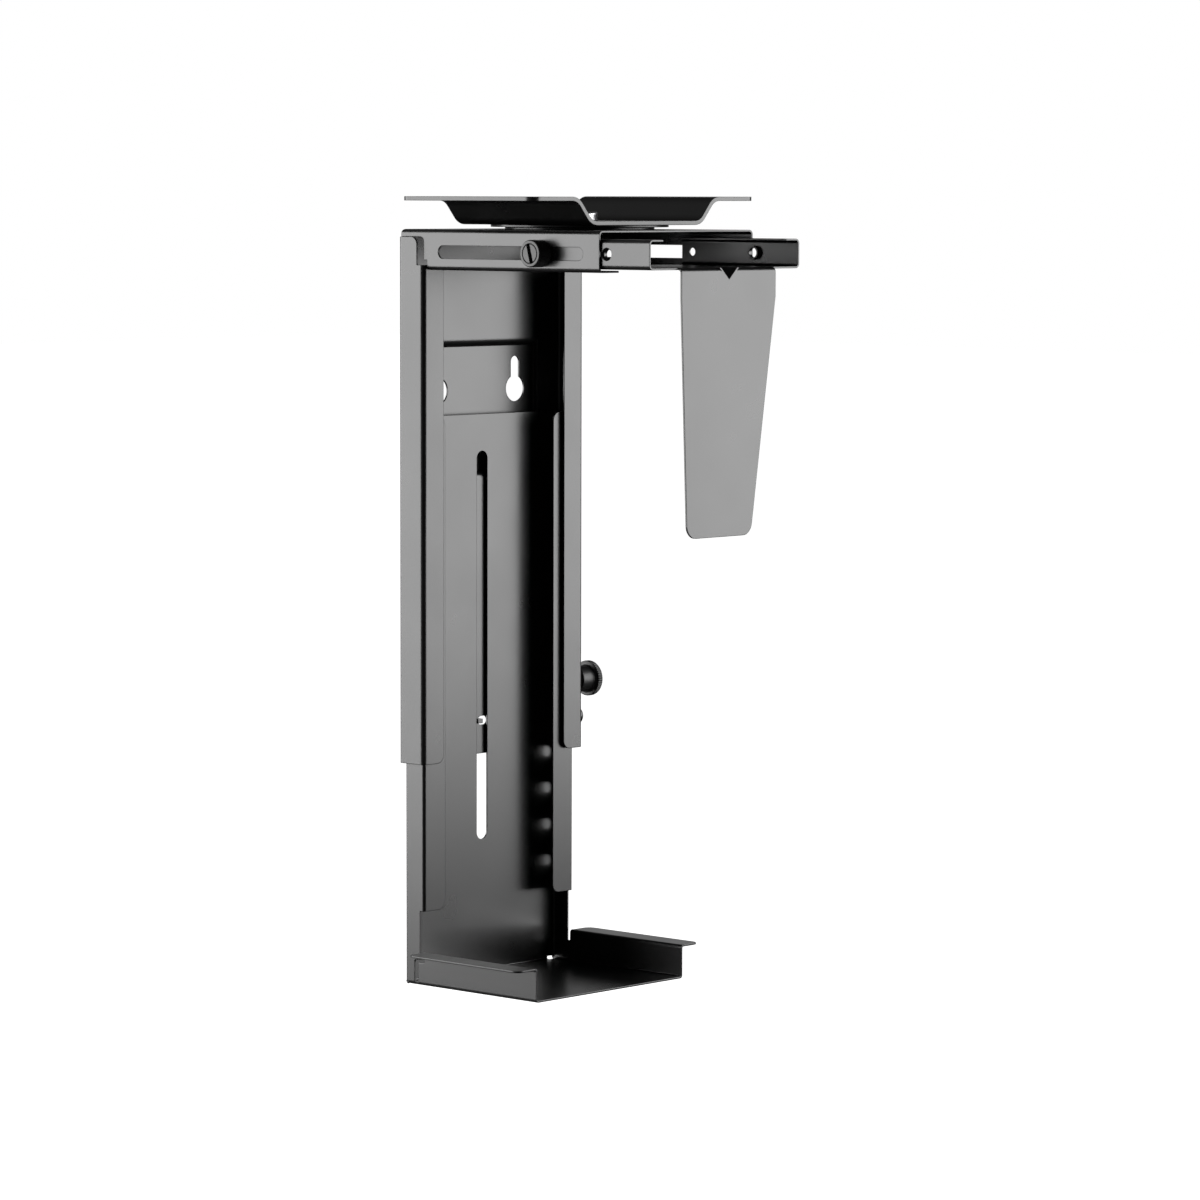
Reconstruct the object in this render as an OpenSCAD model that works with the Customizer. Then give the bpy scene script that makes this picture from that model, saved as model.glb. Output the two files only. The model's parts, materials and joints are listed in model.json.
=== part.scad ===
// Under-desk computer holder in bent steel sheet.
// It hangs from a swivelling desk plate. The tray slides in the column for height,
// and the clamp slides in the top bar for width.
// The origin is the middle of the desk face, on the swivel axis: +X points at the clamp paddle.

/* [Sheet] */
// Thickness of the frame and clamp sheet
sheet_t = 1.0; // [0.8:0.1:1.5]
// Inside bend radius of the upper frame and the clamp
bend_r = 1.6; // [1:0.1:2.5]
// Inside bend radius of the lower frame
small_bend_r = 0.75; // [0.5:0.05:1.5]
// Corner radius at the free ends of the lips
lip_corner_r = 4.5; // [2:0.5:6]

/* [Desk plate] */
// Length of the desk plate, along the top bar
plate_len = 96; // [80:1:130]
// Width of the desk plate, across the top bar
plate_w = 172.6; // [160:0.2:220]
// Thickness of the desk plate
plate_t = 2.2; // [1.5:0.1:3]
// Depth of the channel pressed into the desk plate
channel_depth = 12.6; // [10:0.2:18]
// Width of the channel at the desk face
channel_w = 104.2; // [96:0.2:120]
// Slope of the channel sides, in degrees
channel_slope = 50; // [40:1:60]
// Inside bend radius of the desk plate
plate_bend_r = 8; // [3:0.5:9]
// Corner radius of the desk plate
plate_corner_r = 5.8; // [2:0.2:8]
// Diameter of the desk screw holes
desk_hole_d = 5; // [4:0.1:6.5]
// Distance of the desk screw holes from the plate's ends and sides
desk_hole_inset = 14; // [9:0.5:18]

/* [Swivel] */
// Diameter of the swivel bolt
bolt_d = 8; // [6:0.5:10]
// Diameter of the bolt head
bolt_head_d = 19; // [15:0.5:24]
// Height of the bolt head
bolt_head_h = 4.4; // [3:0.2:6]
// Diameter of the upper swivel disc
upper_disc_d = 94; // [60:1:110]
// Diameter of the lower swivel disc
lower_disc_d = 79; // [50:1:100]
// Thickness of each swivel disc
disc_t = 1.2; // [1:0.1:3]
// Diameter of the washer under the top bar
washer_d = 24; // [20:0.5:32]
// Thickness of the washer under the top bar
washer_t = 1.5; // [1:0.1:2.5]
// Height of the spring washer
spring_t = 2; // [1:0.1:2.5]
// Width of the spring washer's ring
spring_w = 3; // [2:0.1:4]
// Width across the flats of the lock nut
nut_af = 13; // [12:0.5:17]
// Height of the lock nut
nut_h = 8; // [5:0.5:8.5]

/* [Top bar] */
// From the swivel axis to the free end of the top bar
bar_reach = 69.2; // [60:0.2:100]
// Height of the top bar
bar_h = 21.5; // [21:0.1:28]
// How far each side of the top bar lies inside the column's side
bar_inset = 2.4; // [1.5:0.1:4]
// Width of the top bar's bottom lips
bar_lip = 14.8; // [10:0.2:18]
// Length of the slots in the sides of the top bar
bar_slot_len = 104.2; // [80:0.2:110]
// Height of the slots in the sides of the top bar
bar_slot_h = 6.9; // [6:0.1:8]
// From the free end of the top bar to its slots
bar_slot_margin = 11.3; // [8:0.1:18]

/* [Column] */
// From the swivel axis to the back of the column
column_back = 73.6; // [65:0.2:90]
// Width of the column
column_w = 124; // [110:1:140]
// Depth of the column
column_d = 18.8; // [18:0.2:26]
// Length of the column, from the top of the top bar
column_len = 284; // [260:0.2:330]
// Width of the column's lips
column_lip = 15.2; // [10:0.2:17]
// From the column's top to its wall recess
recess_top = 59.1; // [50:0.1:75]
// Height of the wall recess
recess_h = 75.6; // [65:0.2:90]
// Depth of the wall recess
recess_depth = 3; // [2:0.1:4]
// Width of the wall recess
recess_w = 90; // [80:1:108]
// Distance between the two keyholes
keyhole_spacing = 59.2; // [45:0.2:75]
// Diameter of the keyhole's round part
keyhole_d = 14.2; // [10:0.1:16]
// Width of the keyhole's slot
keyhole_slot_w = 6.5; // [4.5:0.1:8]
// From the middle of the keyhole to the top of its slot
keyhole_rise = 17.6; // [13:0.2:22]
// From the recess's upper edge to the keyhole's middle
keyhole_drop = 27.7; // [24:0.1:34]
// From the column's lower end to the stop tab
stop_rise = 18; // [12:0.5:24]
// Width and height of the stop tab
stop_size = 2.4; // [1.5:0.1:3]

/* [Tray and inner column] */
// Clear height between the top bar and the tray, as set
opening_h = 380.5; // [340:0.1:420]
// Gap between the inner column and the column's back
back_gap = 1; // [0.5:0.1:1.2]
// Gap between the inner column and the column's near side
near_gap = 1.8; // [0.5:0.1:3]
// Gap between the inner column and the column's knob side, which holds the clinch nuts
knob_gap = 4.2; // [3.8:0.1:6]
// Depth of the inner column
inner_d = 14.4; // [12:0.1:15]
// Height of the inner column above the tray's underside
inner_len = 303.3; // [290:0.1:330]
// Width of the inner column's lips
inner_lip = 16; // [10:0.2:20]
// From the tray's underside to the lower end of the inner column's lips
inner_lip_rise = 40; // [36:0.5:60]
// Width of the height slot
height_slot_w = 8.2; // [7.5:0.1:10]
// Length of the height slot
height_slot_len = 210.8; // [206:0.2:215]
// From the inner column's top to the height slot
height_slot_top = 20; // [14:0.5:30]
// How far each side of the tray lies inside the inner column's side
tray_inset = 0.7; // [0.3:0.1:2]
// Depth of the tray, from the back of the inner column
tray_depth = 96; // [80:1:120]
// Height of the tray's sides
tray_side_h = 18.1; // [16:0.1:25]
// Width of the tray's lips, from the side's outer face
tray_lip = 13.7; // [8:0.1:20]
// Diameter of the holes that relieve the tray's back corners
relief_d = 5.1; // [4:0.1:7]
// Diameter of a height hole
height_hole_d = 6.2; // [5:0.1:7]
// Distance between two height holes
height_hole_pitch = 20; // [16:0.5:20]
// Number of height holes
height_hole_count = 13; // [4:1:13]
// From the tray's underside to the lowest height hole
height_hole_rise = 55.7; // [48:0.1:56]

/* [Clamp] */
// How far the clamp's free end stands out of the top bar, as set
clamp_out = 33.4; // [10:0.2:50]
// Gap on each side between the clamp and the top bar
clamp_gap = 0.35; // [0.2:0.05:0.6]
// Gap between the clamp and the top bar's lips
clamp_lift = 0.75; // [0.3:0.05:0.9]
// Length of the clamp's sides
clamp_len = 81.2; // [70:0.2:100]
// Height of the clamp's sides
clamp_h = 15.4; // [15:0.1:16]
// Width of the clamp's top lips
clamp_lip = 10.4; // [6:0.2:12]
// How far the paddle stands in front of the clamp's sides
paddle_out = 2.6; // [2.2:0.1:6]
// Width of the paddle at its top
paddle_w = 73; // [50:0.2:84]
// Height of the paddle below the clamp's underside
paddle_h = 137.6; // [100:0.2:180]
// Height of the paddle's upper part, whose sides are upright
paddle_straight = 14.2; // [10:0.5:40]
// How far the paddle's near edge leans in at the bottom
paddle_near_taper = 4.8; // [0:0.2:15]
// How far the paddle's far edge leans in at the bottom
paddle_far_taper = 18.8; // [0:0.2:25]
// Radius of the paddle's lower corners
paddle_corner_r = 7; // [3:0.5:12]
// Width of the gusset pressed into the paddle's bend
gusset_w = 12.8; // [6:0.2:20]
// Height of the gusset pressed into the paddle's bend
gusset_h = 6.2; // [4:0.2:10]
// From the clamp's inner end to the thumb screw
screw_inset = 7.1; // [5.5:0.1:12]
// From the clamp's outer end to its spare hole
spare_hole_inset = 29.5; // [20:0.2:40]
// Diameter of the clamp's spare holes
spare_hole_d = 5.2; // [4:0.1:7]
// Height of the collar round a spare hole
spare_collar_h = 2.2; // [0.6:0.1:5]

/* [Screws and knob] */
// Diameter of the thumb screw's head
thumb_head_d = 14.2; // [10:0.1:16]
// Height of the thumb screw's head
thumb_head_h = 8.6; // [5:0.1:12]
// Diameter of the thumb screw's thread
thumb_d = 5; // [4:0.1:5.5]
// Width of the slot in the thumb screw's face
thumb_slot_w = 2.2; // [1:0.1:3]
// Depth of the slot in the thumb screw's face
thumb_slot_depth = 2.2; // [1:0.1:4]
// Slant of the slot in the thumb screw's face, in degrees
thumb_slot_angle = 15; // [0:1:180]
// Diameter of the knob's rim
knob_d = 19.4; // [16:0.1:26]
// Width of the knob's rim
knob_rim_w = 3.2; // [2:0.1:6]
// Diameter of the knob's hub
knob_hub_d = 14.3; // [11:0.1:15]
// Length of the knob
knob_len = 12.7; // [10:0.1:18]
// Gap between the knob and the column
knob_stand = 3.2; // [0.5:0.1:4]
// Number of notches round the knob's rim
knurl_count = 48; // [24:1:60]
// Depth of the notches round the knob's rim
knurl_depth = 0.35; // [0.2:0.05:0.6]
// Diameter of the knob's stud
stud_d = 6; // [4:0.1:6.5]
// From the column's lower end to the knob's axis
knob_rise = 36.3; // [32:0.1:50]
// From the knob's axis down to the side screw
side_screw_drop = 20; // [16:0.5:24]
// Diameter of the side screw's head
side_head_d = 10; // [7:0.1:12]
// Height of the side screw's head
side_head_h = 6.2; // [2:0.1:7]
// Diameter of the side screw's thread
side_d = 5; // [3:0.1:5.5]
// Height of the clinch nuts
clinch_h = 2.8; // [1.5:0.1:3]
// Wall of the clinch nuts
clinch_wall = 2.4; // [1.5:0.1:2.6]

/* [Clearances] */
// Gap between flat faces that turn on each other
face_gap = 0.1; // [0.05:0.01:0.2]
// Radial gap of a shaft or screw that turns in its bore
run_gap = 0.05; // [0.02:0.01:0.1]
// Radial gap of a screw in a plain hole
hole_gap = 0.3; // [0.1:0.05:0.6]
// Gap between a screw's tip and the inner column
tip_gap = 0.35; // [0.2:0.05:0.6]
// Gap between sheet edges at the folded corners
fold_gap = 1.2; // [0.6:0.1:2]

/* [Hidden] */
$fn = 48;
cut = 0.5;

// Steel black and plain steel
paint = [0.09, 0.09, 0.095];
plastic = [0.05, 0.05, 0.055];
steel = [0.66, 0.66, 0.68];

// Heights of the swivel stack, from the desk face down
plate_low = -channel_depth - plate_t;
upper_disc_low = plate_low - disc_t;
lower_disc_top = upper_disc_low - face_gap;
bar_top = lower_disc_top - disc_t;
washer_top = bar_top - sheet_t - face_gap;
spring_top = washer_top - washer_t;
nut_top = spring_top - spring_t;
bolt_low = nut_top - nut_h - sheet_t;

// Upper frame
bar_low = bar_top - bar_h;
bar_w = column_w - 2 * bar_inset;
column_x = -column_back;
column_front = column_x + column_d;
column_web = column_x + sheet_t;
column_low = bar_top - column_len;
bend_out = bend_r + sheet_t;
column_side_top = bar_top - bend_out - 1.2 * fold_gap;
column_notch_x = column_front - bend_out - 2 * fold_gap;
column_notch_z = bar_low + 2.2 * fold_gap;
bar_step_x = column_front + fold_gap / 3;
bar_step_z = bar_low + bar_h / 4;
column_corner_r = 4.2;
bar_far_x = column_notch_x + 2.5 * fold_gap;
bar_slot_x1 = bar_reach - bar_slot_margin;
bar_slot_x0 = bar_slot_x1 - bar_slot_len;
bar_slot_z = (bar_top + bar_low) / 2 - fold_gap;
recess_z1 = bar_top - recess_top;
recess_z0 = recess_z1 - recess_h;
recess_floor = column_web - recess_depth;
recess_r = recess_depth + 1.5 * sheet_t;
keyhole_z = recess_z1 - keyhole_drop;
stop_z = column_low + stop_rise;
stop_window_w = 3 * stop_size;
stop_reach = back_gap + sheet_t + fold_gap / 2;

// Lower frame
inner_x = column_web + back_gap;
inner_web = inner_x + sheet_t;
inner_front = inner_x + inner_d;
inner_w = column_w - 2 * sheet_t - near_gap - knob_gap;
inner_y = (near_gap - knob_gap) / 2;
inner_out = small_bend_r + sheet_t;
tray_low = bar_low - opening_h - sheet_t;
tray_top = tray_low + tray_side_h;
tray_w = inner_w - 2 * tray_inset;
tray_front = inner_x + tray_depth;
inner_top = tray_low + inner_len;
lips_low = tray_low + inner_lip_rise;
tray_notch_z = tray_top - 5 * fold_gap;
knee_x = inner_front - inner_out - 1.3 * fold_gap;
relief_y = tray_w / 2 - relief_d / 2 - fold_gap / 2;
height_slot_z1 = inner_top - height_slot_top;
height_slot_z0 = height_slot_z1 - height_slot_len;
knob_side_y = inner_y + inner_w / 2;
knob_x = column_x + column_d / 2;
knob_z = column_low + knob_rise;
side_screw_z = knob_z - side_screw_drop;
screw_tip_y = knob_side_y + tip_gap;
height_hole_x = (inner_x + inner_front) / 2;
height_hole_z = tray_low + height_hole_rise;

// Clamp
clamp_x1 = bar_reach + clamp_out;
clamp_x0 = clamp_x1 - clamp_len;
clamp_w = bar_w - 2 * (sheet_t + clamp_gap);
clamp_low = bar_low + sheet_t + clamp_lift;
clamp_top = clamp_low + clamp_h;
paddle_x = clamp_x1 + paddle_out;
paddle_low = clamp_low - paddle_h;
screw_x = clamp_x0 + screw_inset;
spare_x = clamp_x1 - spare_hole_inset;
nut_y = -clamp_w / 2 + sheet_t;

// Extrudes an outline drawn in Y and Z along X
module along_x(x0, x1) {
    translate([x0, 0, 0]) rotate([90, 0, 90]) linear_extrude(x1 - x0) children();
}

// Extrudes an outline drawn in X and Z along Y
module along_y(y0, y1) {
    translate([0, y1, 0]) rotate([90, 0, 0]) linear_extrude(y1 - y0) children();
}

// Extrudes an outline drawn in X and Y along Z
module along_z(z0, z1) {
    translate([0, 0, z0]) linear_extrude(z1 - z0) children();
}

// Rectangle between two corners
module rect(x0, y0, x1, y1) {
    translate([x0, y0]) square([x1 - x0, y1 - y0]);
}

// Rectangle between two corners, with round corners
module round_rect(x0, y0, x1, y1, r) {
    rect(x0 + r, y0, x1 - r, y1);
    rect(x0, y0 + r, x1, y1 - r);
    for (x = [x0 + r, x1 - r], y = [y0 + r, y1 - r]) translate([x, y]) circle(r);
}

// Quarter-round waste at a corner: the corner is at x, y and the part lies on sides sx, sy
module corner_waste(x, y, r, sx, sy) {
    translate([x, y]) scale([sx, sy]) difference() {
        rect(-cut, -cut, r, r);
        translate([r, r]) circle(r);
    }
}

// Slot with round ends between two points on one axis
module slot_x(x0, x1, y, w) {
    rect(x0 + w / 2, y - w / 2, x1 - w / 2, y + w / 2);
    for (x = [x0 + w / 2, x1 - w / 2]) translate([x, y]) circle(d = w);
}

module slot_y(x, y0, y1, w) {
    rect(x - w / 2, y0 + w / 2, x + w / 2, y1 - w / 2);
    for (y = [y0 + w / 2, y1 - w / 2]) translate([x, y]) circle(d = w);
}

// Sheet bent round a corner: a ring sector from angle a0 to a1
module bent(r0, r1, a0, a1) {
    reach = 2 * r1;
    mid = (a0 + a1) / 2;
    intersection() {
        difference() {
            circle(r1);
            circle(r0);
        }
        polygon([[0, 0], reach * [cos(a0), sin(a0)], reach * [cos(mid), sin(mid)],
            reach * [cos(a1), sin(a1)]]);
    }
}

// Cross-section of a lipped channel, open towards +X
module lipped_channel(x0, x1, w, lip, r) {
    difference() {
        round_rect(x0, -w / 2, x1, w / 2, r + sheet_t);
        round_rect(x0 + sheet_t, -w / 2 + sheet_t, x1 - sheet_t, w / 2 - sheet_t, r);
        rect(x1 - sheet_t - r, -w / 2 + lip, x1 + cut, w / 2 - lip);
    }
}

// Screw or pin along Y, with its axis at x, z
module pin_y(x, z, y0, y1, d) {
    translate([x, y1, z]) rotate([90, 0, 0]) cylinder(d = d, h = y1 - y0);
}

// One half of the desk plate's bent profile, on the +Y side
module plate_half() {
    r0 = plate_bend_r;
    r1 = plate_bend_r + plate_t;
    half = channel_slope / 2;
    tilt = [-sin(channel_slope), cos(channel_slope)];
    edge = plate_w / 2;
    // Middles of the bend at the desk and the bend at the channel's floor
    top = [channel_w / 2 + r1 * tan(half), -r1];
    low = [channel_w / 2 - channel_depth / tan(channel_slope) - r0 * tan(half), r0 - channel_depth];
    difference() {
        rect(-cut, plate_low, edge, 0);
        // Hollow above the channel's floor and slope
        difference() {
            polygon([[-2 * cut, cut], [-2 * cut, -channel_depth], [low[0], -channel_depth],
                low - r0 * tilt, top + r1 * tilt, top, [top[0], cut]]);
            translate(top) circle(r1);
        }
        translate(low) circle(r0);
        // Hollow below the flange and slope
        difference() {
            polygon([[edge + cut, plate_low - cut], [edge + cut, -plate_t], [top[0], -plate_t],
                top + r0 * tilt, low - r1 * tilt, low, [low[0], plate_low - cut]]);
            translate(low) circle(r1);
        }
        translate(top) circle(r0);
    }
}

module desk_plate() {
    x = plate_len / 2;
    y = plate_w / 2;
    color(paint) difference() {
        along_x(-x, x) {
            plate_half();
            mirror([1, 0]) plate_half();
        }
        along_z(plate_low - cut, cut) for (sx = [-1, 1], sy = [-1, 1]) {
            corner_waste(sx * x, sy * y, plate_corner_r, -sx, -sy);
            translate([sx * (x - desk_hole_inset), sy * (y - desk_hole_inset)]) circle(d = desk_hole_d);
        }
        along_z(plate_low - cut, cut) circle(d = bolt_d);
    }
}

module upper_disc() {
    color(plastic) along_z(upper_disc_low, plate_low) difference() {
        circle(d = upper_disc_d, $fn = 96);
        circle(d = bolt_d);
    }
}

module lower_disc() {
    color(plastic) along_z(bar_top, lower_disc_top) difference() {
        circle(d = lower_disc_d, $fn = 96);
        circle(d = bolt_d + 2 * run_gap);
    }
}

module swivel_bolt() {
    edge = bolt_head_h / 4;
    color(steel) rotate_extrude() {
        rect(0, bolt_low, bolt_d / 2, -channel_depth);
        rect(0, -channel_depth, bolt_head_d / 2, -channel_depth + bolt_head_h - edge);
        rect(0, -channel_depth, bolt_head_d / 2 - edge, -channel_depth + bolt_head_h);
        translate([bolt_head_d / 2 - edge, -channel_depth + bolt_head_h - edge]) circle(edge);
    }
}

module under_washer() {
    color(steel) along_z(spring_top, washer_top) difference() {
        circle(d = washer_d);
        circle(d = bolt_d);
    }
}

module spring_washer() {
    gap = spring_t / 2;
    spring_d = bolt_d + 2 * spring_w;
    color(steel) along_z(nut_top, spring_top) difference() {
        circle(d = spring_d);
        circle(d = bolt_d);
        rect(0, -gap / 2, spring_d, gap / 2);
    }
}

module lock_nut() {
    collar_h = nut_h / 4;
    collar_d = nut_af - 1;
    color(steel) difference() {
        union() {
            along_z(nut_top - nut_h + collar_h, nut_top) circle(d = nut_af / cos(30), $fn = 6);
            along_z(nut_top - nut_h, nut_top) circle(d = collar_d);
        }
        along_z(bolt_low - cut, nut_top + cut) circle(d = bolt_d);
    }
}

// Column of the upper frame: a lipped channel with its wall recess
module column() {
    lip_y = column_w / 2 - column_lip;
    side = column_w / 2;
    difference() {
        along_z(column_low, column_side_top)
            lipped_channel(column_x, column_front, column_w, column_lip, bend_r);
        // The sides and lips stop short of the top bar's folds
        along_y(-side - cut, side + cut) {
            rect(column_notch_x, column_notch_z, column_front + cut, column_side_top + cut);
            corner_waste(column_notch_x, column_side_top, column_corner_r, -1, -1);
        }
        // Round ends of the lips
        along_x(column_front - sheet_t - cut, column_front + cut) for (s = [-1, 1])
            corner_waste(s * lip_y, column_low, lip_corner_r, s, 1);
        // Opening for the wall recess
        along_y(-recess_w / 2, recess_w / 2) rect(column_x - cut, recess_z0, column_web + cut, recess_z1);
        // Window behind the stop tab
        along_x(column_x - cut, column_web + cut)
            slot_x(-stop_size, stop_window_w - stop_size, stop_z, 2 * stop_size);
        // Holes for the knob's stud and the side screw
        pin_y(knob_x, knob_z, side - sheet_t - cut, side + cut, stud_d + 2 * hole_gap);
        pin_y(knob_x, side_screw_z, side - sheet_t - cut, side + cut, side_d);
    }
    wall_recess();
    // Stop tab bent forward into the height slot
    along_x(column_x, column_web + stop_reach)
        rect(-2 * stop_size, stop_z - stop_size / 2, -stop_size / 2, stop_z + stop_size / 2);
}

// Section of the wall recess: everything, or only its hollow
module recess_section(hollow) {
    r = hollow ? recess_r : recess_r - sheet_t;
    back = hollow ? recess_floor : recess_floor - sheet_t;
    difference() {
        rect(back, recess_z0, hollow ? column_web + cut : column_web, recess_z1);
        for (z = [recess_z0, recess_z1]) translate([column_web - recess_r, z]) circle(r);
    }
}

// Recess that lets the heads of wall screws clear the inner column
module wall_recess() {
    difference() {
        along_y(-recess_w / 2, recess_w / 2) recess_section(false);
        along_y(-recess_w / 2 + sheet_t, recess_w / 2 - sheet_t) recess_section(true);
        along_x(recess_floor - sheet_t - cut, recess_floor + cut) for (s = [-1, 1]) {
            translate([s * keyhole_spacing / 2, keyhole_z]) circle(d = keyhole_d);
            slot_y(s * keyhole_spacing / 2, keyhole_z - keyhole_slot_w / 2, keyhole_z + keyhole_rise,
                keyhole_slot_w);
        }
    }
}

// Top bar of the upper frame: an upturned channel with bottom lips
module top_bar() {
    side = bar_w / 2;
    web_z = bar_top - sheet_t;
    difference() {
        intersection() {
            along_x(column_x, bar_reach) difference() {
                round_rect(-side, bar_low, side, bar_top, bend_out);
                round_rect(-side + sheet_t, bar_low + sheet_t, side - sheet_t, web_z, bend_r);
                rect(-side + bar_lip, bar_low - cut, side - bar_lip, bar_low + bend_out);
            }
            along_y(-side, side) {
                rect(bar_far_x, bar_step_z, bar_reach, bar_top);
                rect(bar_step_x, bar_low, bar_reach, bar_top);
                round_rect(column_x, column_side_top, bar_reach, bar_top, bend_out / 2);
                corner_waste(bar_far_x, column_side_top, bend_out, -1, -1);
            }
        }
        // Slots for the thumb screw
        along_y(-side - cut, side + cut) slot_x(bar_slot_x0, bar_slot_x1, bar_slot_z, bar_slot_h);
        along_z(web_z - cut, bar_top + cut) circle(d = bolt_d + 2 * run_gap);
        // Round lower corners at the column
        along_y(-side - cut, side + cut) corner_waste(bar_step_x, bar_low, fold_gap, 1, 1);
    }
    // Bend that joins the top bar to the column's back
    intersection() {
        along_x(column_x, bar_reach) round_rect(-side, bar_low, side, bar_top, bend_out);
        along_y(-side, side) {
            rect(column_x, column_side_top - bend_out, column_web, bar_top - bend_out);
            translate([column_x + bend_out, bar_top - bend_out]) bent(bend_r, bend_out, 90, 180);
            rect(column_x + bend_out, web_z, bar_far_x, bar_top);
        }
    }
}

module upper_frame() {
    color(paint) {
        column();
        top_bar();
    }
}

// Clinch nut on an inner face: its seat is at y and it points along side s
module clinch_nut(x, z, y, s, bore) {
    y1 = y + s * clinch_h;
    difference() {
        pin_y(x, z, min(y, y1), max(y, y1), bore + 2 * clinch_wall);
        pin_y(x, z, min(y, y1) - cut, max(y, y1) + cut, bore);
    }
}

module knob_nut() {
    color(steel) clinch_nut(knob_x, knob_z, column_w / 2 - sheet_t, -1, stud_d + 2 * run_gap);
}

module side_nut() {
    color(steel) clinch_nut(knob_x, side_screw_z, column_w / 2 - sheet_t, -1, side_d);
}

module slide_nut() {
    color(steel) clinch_nut(screw_x, bar_slot_z, nut_y, 1, thumb_d + 2 * run_gap);
}

module side_screw() {
    seat = column_w / 2;
    edge = side_head_h / 3;
    color(paint) {
        pin_y(knob_x, side_screw_z, screw_tip_y, seat, side_d);
        translate([knob_x, seat, side_screw_z]) rotate([-90, 0, 0]) rotate_extrude() {
            rect(0, 0, side_head_d / 2, side_head_h - edge);
            rect(0, 0, side_head_d / 2 - edge, side_head_h);
            translate([side_head_d / 2 - edge, side_head_h - edge]) circle(edge);
        }
    }
}

// Knob turned about Y: a hub that flares into a notched rim
module height_knob() {
    base = column_w / 2 + knob_stand;
    rim = knob_len - knob_rim_w;
    edge = knob_rim_w / 6;
    hub = knob_hub_d / 2;
    flare = (knob_d / 2 - hub - edge) / 2;
    color(plastic) translate([knob_x, base, knob_z]) rotate([-90, 0, 0]) difference() {
        rotate_extrude() difference() {
            rect(0, 0, knob_d / 2, knob_len);
            rect(hub, -cut, knob_d, rim - flare);
            translate([hub + flare, rim - flare]) circle(flare);
            rect(hub + flare, rim - 2 * flare, knob_d, rim);
            corner_waste(hub, 0, edge, -1, 1);
            corner_waste(knob_d / 2, rim, edge, -1, 1);
            corner_waste(knob_d / 2, knob_len, edge, -1, -1);
        }
        for (i = [0 : knurl_count - 1]) rotate(i * 360 / knurl_count)
            translate([knob_d / 2 + knurl_depth / 2, 0, rim - cut])
                cylinder(r = 1.5 * knurl_depth, h = knob_rim_w + 2 * cut, $fn = 16);
        translate([0, 0, -cut]) cylinder(d = stud_d, h = knob_len - knob_rim_w / 2 + cut);
    }
}

module knob_stud() {
    base = column_w / 2 + knob_stand;
    color(steel) pin_y(knob_x, knob_z, screw_tip_y, base + knob_len - knob_rim_w / 2, stud_d);
}

// Inner column of the lower frame
module inner_column() {
    side = inner_w / 2;
    lip_y = side - inner_lip;
    knee_r = 1.5 * fold_gap;
    knee_back = knee_x - 3.5 * fold_gap;
    difference() {
        along_z(tray_low + inner_out, inner_top)
            lipped_channel(inner_x, inner_front, inner_w, inner_lip, small_bend_r);
        // No lips near the tray
        along_y(-side - cut, side + cut) rect(knee_x, tray_low, inner_front + cut, lips_low);
        // The near side narrows beside the tray's fold
        along_y(-side - cut, 0) {
            rect(knee_back, tray_low, knee_x + cut, tray_notch_z);
            rect(knee_back + knee_r, tray_low, knee_x + cut, tray_notch_z + knee_r);
            translate([knee_back + knee_r, tray_notch_z]) circle(knee_r);
        }
        // Round ends of the lips
        along_x(inner_front - sheet_t - cut, inner_front + cut) for (s = [-1, 1]) {
            corner_waste(s * lip_y, lips_low, lip_corner_r, s, 1);
            corner_waste(s * lip_y, inner_top, lip_corner_r, s, -1);
        }
    }
}

// Tray of the lower frame, folded forward from the inner column's back
module tray() {
    side = tray_w / 2;
    lip_end = side + tray_lip;
    bend_y = side + small_bend_r;
    far_x = inner_front;
    // Bend from the inner column's back
    along_y(-side, side) translate([inner_x + inner_out, tray_low + inner_out])
        bent(small_bend_r, inner_out, 180, 270);
    along_y(-side + inner_out, side - inner_out)
        rect(inner_x, tray_low + inner_out, inner_web, tray_low + 2 * inner_out);
    // Floor and sides, the far ends of the sides cut back
    difference() {
        along_x(inner_x + inner_out, tray_front) {
            rect(-side + inner_out, tray_low, side - inner_out, tray_low + sheet_t);
            for (s = [0, 1]) mirror([s, 0]) {
                translate([side - inner_out, tray_low + inner_out]) bent(small_bend_r, inner_out, -90, 0);
                rect(side - sheet_t, tray_low + inner_out, side, tray_top - inner_out);
                translate([bend_y, tray_top - inner_out]) bent(small_bend_r, inner_out, 90, 180);
            }
        }
        for (s = [0, 1]) mirror([0, s, 0]) along_y(side - inner_out - cut, bend_y + cut) {
            rect(inner_x, tray_notch_z, far_x - fold_gap / 2, tray_top + cut);
            rect(inner_x, tray_low + inner_out, s > 0 ? knee_x - 1.5 * fold_gap : knee_x + fold_gap / 3,
                tray_top + cut);
        }
    }
    // Lips turned outward
    for (s = [0, 1]) mirror([0, s, 0]) along_z(tray_top - sheet_t, tray_top) difference() {
        rect(far_x, bend_y, tray_front, lip_end);
        corner_waste(tray_front, lip_end, lip_corner_r, -1, -1);
        corner_waste(far_x, lip_end, lip_corner_r, 1, -1);
    }
}

module lower_frame() {
    color(paint) translate([0, inner_y, 0]) difference() {
        union() {
            inner_column();
            tray();
        }
        along_x(inner_x - cut, inner_web + cut) slot_y(0, height_slot_z0, height_slot_z1, height_slot_w);
        // Holes on the knob side, one for each height
        for (i = [0 : height_hole_count - 1])
            pin_y(height_hole_x, height_hole_z + i * height_hole_pitch, inner_w / 2 - sheet_t - cut,
                inner_w / 2 + cut, height_hole_d);
        // Relief holes in the tray's back corners
        for (y = [-relief_y, relief_y]) translate([inner_x + inner_out, y, tray_low + inner_out])
            rotate([0, 45, 0]) translate([0, 0, -2 * inner_out]) cylinder(d = relief_d, h = 2 * inner_out);
    }
}

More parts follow.
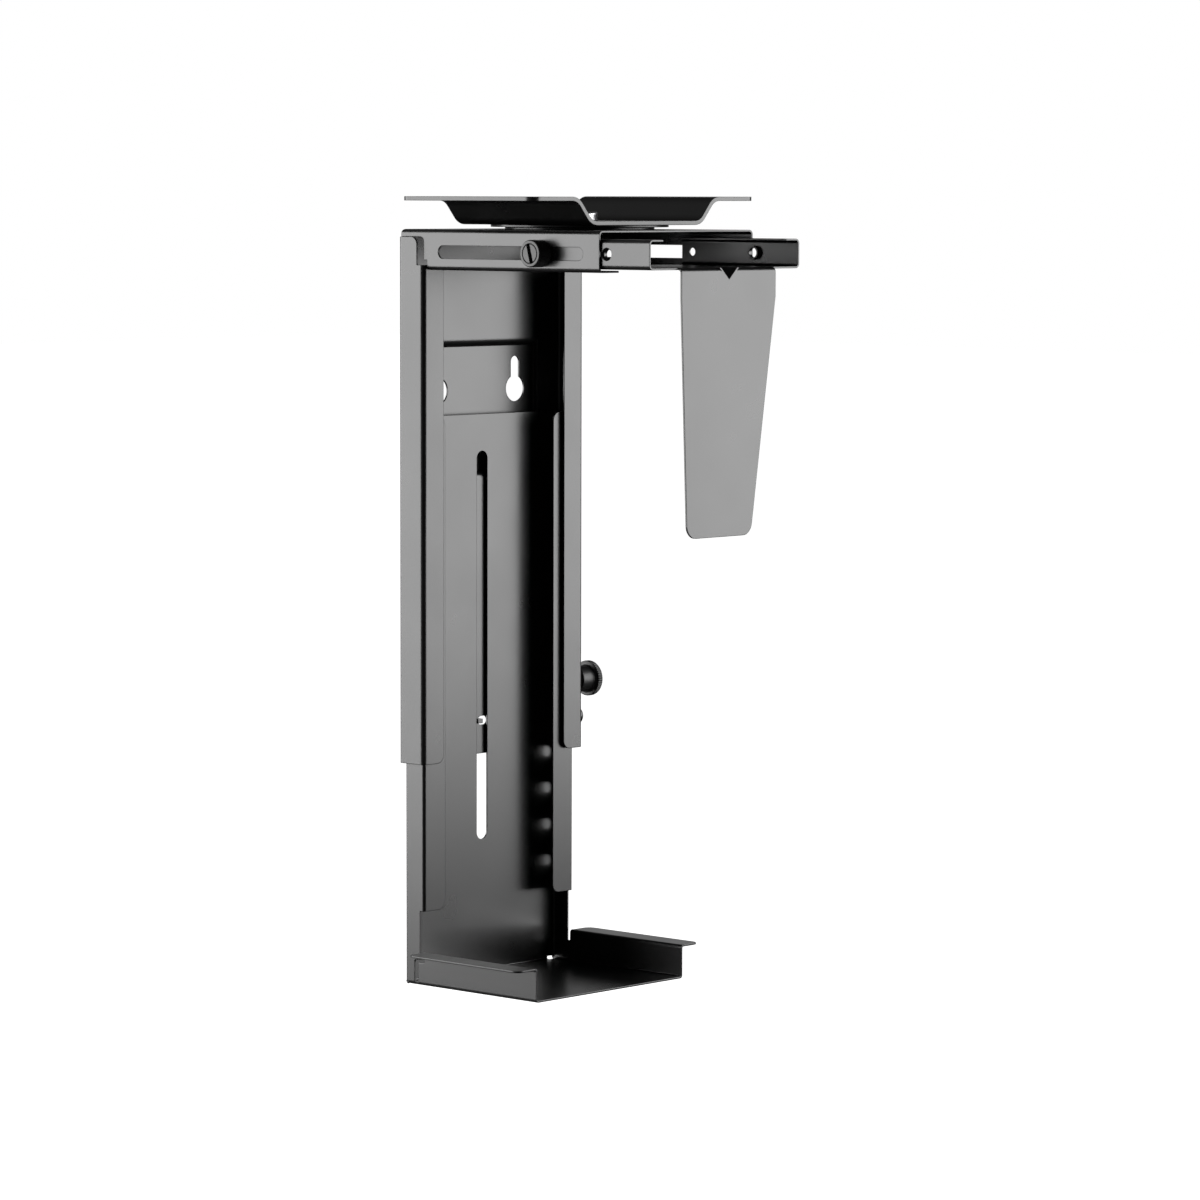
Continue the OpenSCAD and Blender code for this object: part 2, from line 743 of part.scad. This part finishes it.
// Outline of the paddle, in Y and Z, between its bend and its round lower corners
module paddle_outline() {
    top = clamp_low - paddle_out;
    knee = clamp_low - paddle_straight;
    near = -paddle_w / 2;
    far = paddle_w / 2;
    r = paddle_corner_r;
    drop = knee - paddle_low;
    near_tilt = atan(paddle_near_taper / drop);
    far_tilt = atan(paddle_far_taper / drop);
    // Middles of the round corners, which touch the bottom and the leaning edges
    near_c = [near + paddle_near_taper * (1 - r / drop) + r * (1 / cos(near_tilt)), paddle_low + r];
    far_c = [far - paddle_far_taper * (1 - r / drop) - r * (1 / cos(far_tilt)), paddle_low + r];
    near_touch = near_c + r * [-cos(near_tilt), -sin(near_tilt)];
    far_touch = far_c + r * [cos(far_tilt), -sin(far_tilt)];
    polygon([[near, top], [near, knee], near_touch, near_c, [near_c[0], paddle_low], [far_c[0], paddle_low],
        far_c, far_touch, [far, knee], [far, top]]);
    for (c = [near_c, far_c]) translate(c) circle(r);
}

// Prism that opens outward at 45 degrees from the paddle's bend
module gusset_prism(depth) {
    wide = gusset_w / gusset_h;
    reach = 2 * gusset_h;
    translate([paddle_x, 0, clamp_low + sheet_t - gusset_h - depth * sqrt(2)])
        rotate([0, 45, 0]) along_x(-2 * reach, reach)
            polygon([[0, 0], [reach * wide / sqrt(2), reach], [-reach * wide / sqrt(2), reach]]);
}

// Clamp: a channel that slides in the top bar, folded down into the paddle
module clamp_slide() {
    side = clamp_w / 2;
    out = paddle_out - sheet_t;
    half = paddle_w / 2;
    spare_depth = sheet_t + spare_collar_h + cut;
    color(paint) {
        difference() {
            union() {
                along_x(clamp_x0, clamp_x1) difference() {
                    round_rect(-side, clamp_low, side, clamp_top, bend_out);
                    round_rect(-side + sheet_t, clamp_low + sheet_t, side - sheet_t, clamp_top - sheet_t,
                        bend_r);
                    rect(-side + clamp_lip, clamp_top - bend_out, side - clamp_lip, clamp_top + cut);
                }
                // Collars round the spare holes
                for (y = [-side + sheet_t, side - sheet_t - spare_collar_h])
                    pin_y(spare_x, bar_slot_z, y, y + spare_collar_h, spare_hole_d + 2 * sheet_t);
                along_y(-half, half) translate([paddle_x - paddle_out, clamp_low + sheet_t - paddle_out])
                    bent(out, paddle_out, 0, 90);
                along_x(paddle_x - sheet_t, paddle_x) paddle_outline();
                along_x(paddle_x - sheet_t, paddle_x)
                    rect(-half, clamp_low - paddle_out, half, clamp_low + sheet_t - paddle_out);
            }
            // Spare holes, drawn inward with a wider mouth
            for (s = [-1, 1]) {
                pin_y(spare_x, bar_slot_z, s * side - spare_depth, s * side + spare_depth, spare_hole_d);
                translate([spare_x, s * (side + sheet_t), bar_slot_z]) rotate([s * 90, 0, 0])
                    cylinder(d1 = spare_hole_d + 3.2 * sheet_t, d2 = spare_hole_d, h = 2 * sheet_t);
            }
            pin_y(screw_x, bar_slot_z, -side - cut, nut_y + cut, thumb_d + 2 * hole_gap);
            pin_y(screw_x, bar_slot_z, side - sheet_t - cut, side + cut, thumb_d - 2 * hole_gap);
            gusset_prism(0);
        }
        gusset();
    }
}

// Gusset: a folded dart behind the prism's cut, inside the bend
module gusset() {
    intersection() {
        difference() {
            gusset_prism(sheet_t);
            gusset_prism(0);
        }
        along_y(-paddle_w / 2, paddle_w / 2)
            rect(clamp_x0, paddle_low, paddle_x, clamp_low + sheet_t);
    }
}

module thumb_screw() {
    seat = -bar_w / 2 - face_gap;
    rim = thumb_head_d / 10;
    color(paint) difference() {
        union() {
            pin_y(screw_x, bar_slot_z, seat, nut_y + clinch_h, thumb_d);
            translate([screw_x, seat, bar_slot_z]) rotate([90, 0, 0]) rotate_extrude()
                difference() {
                    union() {
                        rect(0, 0, thumb_head_d / 2, thumb_head_h - rim / 2);
                        rect(0, 0, thumb_head_d / 2 - rim / 2, thumb_head_h);
                        translate([thumb_head_d / 2 - rim / 2, thumb_head_h - rim / 2]) circle(rim / 2);
                    }
                    rect(thumb_head_d / 2 - 1.6 * rim, thumb_head_h - rim / 3,
                        thumb_head_d / 2 - 1.3 * rim, thumb_head_h + cut);
                }
        }
        translate([screw_x, seat - thumb_head_h, bar_slot_z]) rotate([0, -thumb_slot_angle, 0])
            translate([-thumb_slot_w / 2, -cut, -thumb_head_d / 2 + 1.4 * rim])
                cube([thumb_slot_w, thumb_slot_depth + cut, thumb_head_d - 2.8 * rim]);
    }
}

desk_plate();
upper_disc();
swivel_bolt();
under_washer();
spring_washer();
lock_nut();
lower_disc();
upper_frame();
knob_nut();
side_screw();
side_nut();
height_knob();
knob_stud();
lower_frame();
clamp_slide();
slide_nut();
thumb_screw();
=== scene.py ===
"""Looks of the under-desk computer holder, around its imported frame."""
import json
import math

import bpy
from mathutils import Matrix, Vector

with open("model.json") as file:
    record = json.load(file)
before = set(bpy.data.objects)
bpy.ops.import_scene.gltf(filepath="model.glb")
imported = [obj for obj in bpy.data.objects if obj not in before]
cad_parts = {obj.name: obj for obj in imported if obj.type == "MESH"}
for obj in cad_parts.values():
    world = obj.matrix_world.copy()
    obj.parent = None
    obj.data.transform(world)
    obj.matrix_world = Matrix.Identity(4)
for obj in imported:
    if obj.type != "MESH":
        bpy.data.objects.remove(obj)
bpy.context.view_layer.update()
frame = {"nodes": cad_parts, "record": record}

# Camera, fitted to the photograph: place in metres, angles in degrees, focal length in pixels
CAMERA_AT = Vector((1.79725, -1.92597, 0.00410))
CAMERA_YAW = 47.222
CAMERA_PITCH = 4.725
CAMERA_ROLL = 0.124
FOCAL_PX = 4975.8
IMAGE_PX = 1200
SENSOR_MM = 36.0

# Floor, in metres, just under the tray's lowest place. It is a little less bright near the object.
FLOOR_Z = -0.561
FLOOR_HALF = 12.0
FLOOR_NEAR, FLOOR_FAR = 0.15, 0.8
FLOOR_NEAR_GLOW, FLOOR_FAR_GLOW = 0.9, 1.0

# World: its own level, then each glow's angle from the camera, where it starts and is full, and strength
WORLD_LEVEL = 0.02
BACKDROP_ANGLE, BACKDROP_SPREAD, BACKDROP_GLOW = 180, (24, 6), 0.55
FILL_ANGLE, FILL_SPREAD, FILL_GLOW = -91, (90, 20), 0.15

# Softboxes, in metres: one to each side, with its angle from the camera and the height of its lower edge
BOXES = (("softbox_left", -91, -0.60), ("softbox_right", 91, -0.52))
BOX_AWAY = 1.6
BOX_W = 1.6
BOX_TOP = 0.7
BOX_RADIANCE = 4.75

# Noise of the finishes, in turns to the metre, and the part of its range that is spread
COLOUR_NOISE = 60.0
ROUGH_NOISE = 25.0
SKIN_NOISE = 900.0
NOISE_LOW, NOISE_HIGH = 0.3, 0.7


def add_camera():
    """Camera at the photograph's place, in plain perspective."""
    yaw, pitch, roll = (math.radians(a) for a in (CAMERA_YAW, CAMERA_PITCH, CAMERA_ROLL))
    look = Vector((-math.cos(yaw) * math.cos(pitch), math.sin(yaw) * math.cos(pitch), -math.sin(pitch)))
    right = look.cross(Vector((0, 0, 1))).normalized()
    up = right.cross(look)
    right, up = right * math.cos(roll) + up * math.sin(roll), up * math.cos(roll) - right * math.sin(roll)
    data = bpy.data.cameras.new("camera")
    data.sensor_width = SENSOR_MM
    data.lens = FOCAL_PX * SENSOR_MM / IMAGE_PX
    data.clip_end = 50.0
    camera = bpy.data.objects.new("camera", data)
    turn = Matrix((right, up, -look)).transposed().to_4x4()
    camera.matrix_world = Matrix.Translation(CAMERA_AT) @ turn
    bpy.context.scene.collection.objects.link(camera)
    bpy.context.scene.camera = camera


def link(tree, source, output, target, socket):
    tree.links.new(source.outputs[output], target.inputs[socket])


def new_material(name):
    material = bpy.data.materials.new(name)
    material.use_nodes = True
    tree = material.node_tree
    return material, tree, tree.nodes["Principled BSDF"]


def noise(tree, scale, detail):
    """Noise in the object's own metres."""
    where = tree.nodes.new("ShaderNodeTexCoord")
    tex = tree.nodes.new("ShaderNodeTexNoise")
    tex.inputs["Scale"].default_value = scale
    tex.inputs["Detail"].default_value = detail
    link(tree, where, "Object", tex, "Vector")
    return tex


def colour_by(tree, tex, low, high):
    ramp = tree.nodes.new("ShaderNodeValToRGB")
    ramp.color_ramp.elements[0].position = NOISE_LOW
    ramp.color_ramp.elements[1].position = NOISE_HIGH
    ramp.color_ramp.elements[0].color = (*low, 1)
    ramp.color_ramp.elements[1].color = (*high, 1)
    link(tree, tex, "Fac", ramp, "Fac")
    return ramp


def value_by(tree, tex, low, high):
    spread = tree.nodes.new("ShaderNodeMapRange")
    spread.inputs["From Min"].default_value = NOISE_LOW
    spread.inputs["From Max"].default_value = NOISE_HIGH
    spread.inputs["To Min"].default_value = low
    spread.inputs["To Max"].default_value = high
    link(tree, tex, "Fac", spread, "Value")
    return spread


def surface(name, low, high, rough, bump=0.02, bump_m=0.0002, edge_m=0.0005, metallic=0.0, specular=0.5):
    """Procedural finish: clouded colour, clouded roughness, a fine skin and softened edges."""
    material, tree, shader = new_material(name)
    link(tree, colour_by(tree, noise(tree, COLOUR_NOISE, 4.0), low, high), "Color", shader, "Base Color")
    link(tree, value_by(tree, noise(tree, ROUGH_NOISE, 3.0), *rough), "Result", shader, "Roughness")
    edge = tree.nodes.new("ShaderNodeBevel")
    edge.samples = 8
    edge.inputs["Radius"].default_value = edge_m
    skin = tree.nodes.new("ShaderNodeBump")
    skin.inputs["Strength"].default_value = bump
    skin.inputs["Distance"].default_value = bump_m
    link(tree, noise(tree, SKIN_NOISE, 2.0), "Fac", skin, "Height")
    link(tree, edge, "Normal", skin, "Normal")
    link(tree, skin, "Normal", shader, "Normal")
    shader.inputs["Metallic"].default_value = metallic
    shader.inputs["Specular IOR Level"].default_value = specular
    return material


def add_softbox(name, at, target, size, watts):
    data = bpy.data.lights.new(name, "AREA")
    data.shape = "RECTANGLE"
    data.size, data.size_y = size
    data.energy = watts
    lamp = bpy.data.objects.new(name, data)
    lamp.location = at
    lamp.rotation_euler = (Vector(target) - Vector(at)).to_track_quat("-Z", "Y").to_euler()
    bpy.context.scene.collection.objects.link(lamp)


def camera_frame(angle, distance, z):
    """A point at an angle from the camera's direction, seen from above, to the right where positive."""
    a = math.radians(-CAMERA_YAW + angle)
    return (distance * math.cos(a), distance * math.sin(a), z)


def maths(tree, operation, a, a_out, b, b_out):
    node = tree.nodes.new("ShaderNodeMath")
    node.operation = operation
    link(tree, a, a_out, node, 0)
    link(tree, b, b_out, node, 1)
    return node


def glow_towards(tree, angle, spread, strength):
    """Soft glow about a direction, from nothing at the outer angle to all its strength at the inner one."""
    outer, inner = spread
    where = tree.nodes.new("ShaderNodeTexCoord")
    towards = tree.nodes.new("ShaderNodeVectorMath")
    towards.operation = "DOT_PRODUCT"
    towards.inputs[1].default_value = Vector(camera_frame(angle, 1.0, 0.0))
    link(tree, where, "Generated", towards, 0)
    glow = tree.nodes.new("ShaderNodeMapRange")
    glow.interpolation_type = "SMOOTHSTEP"
    glow.inputs["From Min"].default_value = math.cos(math.radians(outer))
    glow.inputs["From Max"].default_value = math.cos(math.radians(inner))
    glow.inputs["To Max"].default_value = strength
    link(tree, towards, "Value", glow, "Value")
    return glow


def add_world():
    """White to the camera, dim to the object, with a backdrop that shows at a glance along the paint
    and a faint fill from the left."""
    world = bpy.data.worlds.new("studio")
    bpy.context.scene.world = world
    world.use_nodes = True
    tree = world.node_tree
    back = tree.nodes["Background"]
    back.inputs["Color"].default_value = (1, 1, 1, 1)
    path = tree.nodes.new("ShaderNodeLightPath")
    glow = glow_towards(tree, BACKDROP_ANGLE, BACKDROP_SPREAD, BACKDROP_GLOW)
    fill = glow_towards(tree, FILL_ANGLE, FILL_SPREAD, FILL_GLOW)
    mirrored = maths(tree, "MAXIMUM", path, "Is Glossy Ray", path, "Is Transmission Ray")
    seen = maths(tree, "MULTIPLY", mirrored, "Value", glow, "Result")
    seen = maths(tree, "MAXIMUM", fill, "Result", seen, "Value")
    seen = maths(tree, "MAXIMUM", path, "Is Camera Ray", seen, "Value")
    level = tree.nodes.new("ShaderNodeMapRange")
    level.inputs["To Min"].default_value = WORLD_LEVEL
    level.inputs["To Max"].default_value = 1.0
    link(tree, seen, "Value", level, "Value")
    link(tree, level, "Result", back, "Strength")


def add_floor():
    """Pale floor that runs into the white and takes a faint shadow."""
    mesh = bpy.data.meshes.new("floor")
    h = FLOOR_HALF
    mesh.from_pydata([(-h, -h, 0), (h, -h, 0), (h, h, 0), (-h, h, 0)], [], [(0, 1, 2, 3)])
    floor = bpy.data.objects.new("floor", mesh)
    floor.location.z = FLOOR_Z
    floor.visible_glossy = False
    floor.visible_shadow = False
    bpy.context.scene.collection.objects.link(floor)
    material, tree, shader = new_material("floor_white")
    shader.inputs["Base Color"].default_value = (0.8, 0.8, 0.8, 1)
    shader.inputs["Roughness"].default_value = 1.0
    shader.inputs["Specular IOR Level"].default_value = 0.0
    shader.inputs["Emission Color"].default_value = (1, 1, 1, 1)
    where = tree.nodes.new("ShaderNodeTexCoord")
    away = tree.nodes.new("ShaderNodeVectorMath")
    away.operation = "LENGTH"
    link(tree, where, "Object", away, 0)
    fade = tree.nodes.new("ShaderNodeMapRange")
    fade.inputs["From Min"].default_value = FLOOR_NEAR
    fade.inputs["From Max"].default_value = FLOOR_FAR
    fade.inputs["To Min"].default_value = FLOOR_NEAR_GLOW
    fade.inputs["To Max"].default_value = FLOOR_FAR_GLOW
    link(tree, away, "Value", fade, "Value")
    path = tree.nodes.new("ShaderNodeLightPath")
    level = maths(tree, "MULTIPLY", path, "Is Camera Ray", fade, "Result")
    link(tree, level, "Value", shader, "Emission Strength")
    mesh.materials.append(material)


def add_studio():
    bpy.context.scene.view_settings.view_transform = "Standard"
    add_world()
    add_floor()
    for name, angle, low in BOXES:
        z = (BOX_TOP + low) / 2
        size = (BOX_W, BOX_TOP - low)
        watts = BOX_RADIANCE * math.pi * size[0] * size[1]
        add_softbox(name, camera_frame(angle, BOX_AWAY, z), (0, 0, z), size, watts)


def dress():
    """One finish for each material slot of the record."""
    finishes = {
        "black_coat": surface("black_coat", (0.0030, 0.0030, 0.0031), (0.0042, 0.0042, 0.0043), (0.27, 0.31),
                              specular=0.8),
        "disc_plastic": surface("disc_plastic", (0.008, 0.008, 0.0085), (0.012, 0.012, 0.0125), (0.25, 0.33)),
        "zinc_steel": surface("zinc_steel", (0.55, 0.55, 0.57), (0.68, 0.68, 0.69), (0.22, 0.32),
                              metallic=1.0),
        "knob_black": surface("knob_black", (0.006, 0.006, 0.0062), (0.009, 0.009, 0.0092), (0.42, 0.50),
                              specular=0.6),
        "black_screw": surface("black_screw", (0.012, 0.012, 0.0122), (0.016, 0.016, 0.0162), (0.22, 0.30)),
    }
    for part in frame["record"]["subparts"]:
        node = frame["nodes"][part["node"]]
        node.data.materials.clear()
        node.data.materials.append(finishes[part["material_slot"]])


add_camera()
add_studio()
dress()
